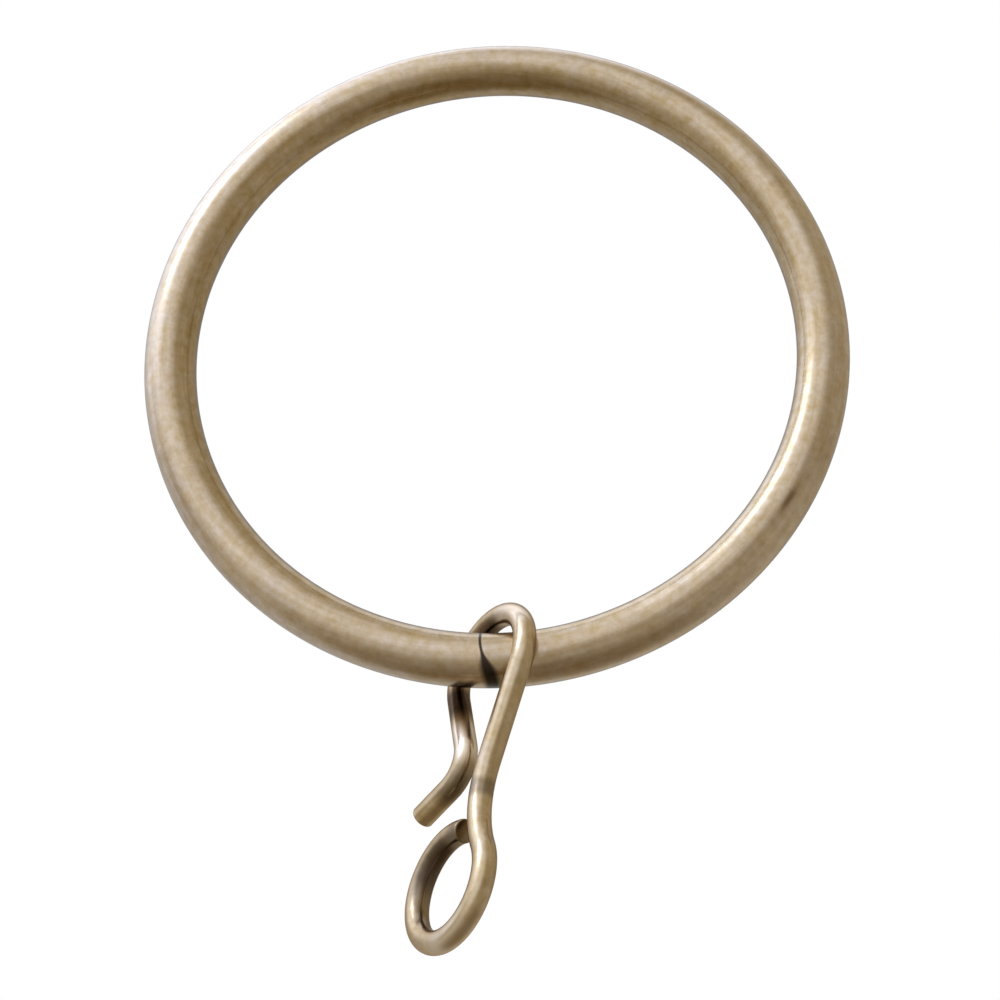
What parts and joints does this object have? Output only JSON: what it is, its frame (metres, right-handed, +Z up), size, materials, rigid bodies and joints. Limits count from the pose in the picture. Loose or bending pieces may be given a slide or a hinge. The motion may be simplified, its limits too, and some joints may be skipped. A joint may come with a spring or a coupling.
{
  "type": "curtain ring with wire hook",
  "caption": "Round-section metal ring that slides on a curtain pole, with a loose bent wire hook whose eye takes a curtain pin.",
  "frame": {"origin": "centre of the ring, on the line of the pole it slides on", "axes": "+Z up with the ring upright, +Y along the pole from the hook's front to its back, +X to the right seen from the front"},
  "size_m": [0.0508, 0.0105, 0.0692],
  "materials": {
    "ring_brass": "satin antique brass, darkened and lightly mottled",
    "hook_brass": "satin antique brass wire"
  },
  "bodies": {
    "ring": {"ring": "ring_brass"},
    "wire_hook": {"wire_hook": "hook_brass"}
  },
  "joints": [
    {"name": "hook_swing", "type": "hinge", "parent": "ring", "child": "wire_hook", "pos_m": [0, 0, -0.0235], "axis": [1, 0, 0], "continuous": true}
  ]
}
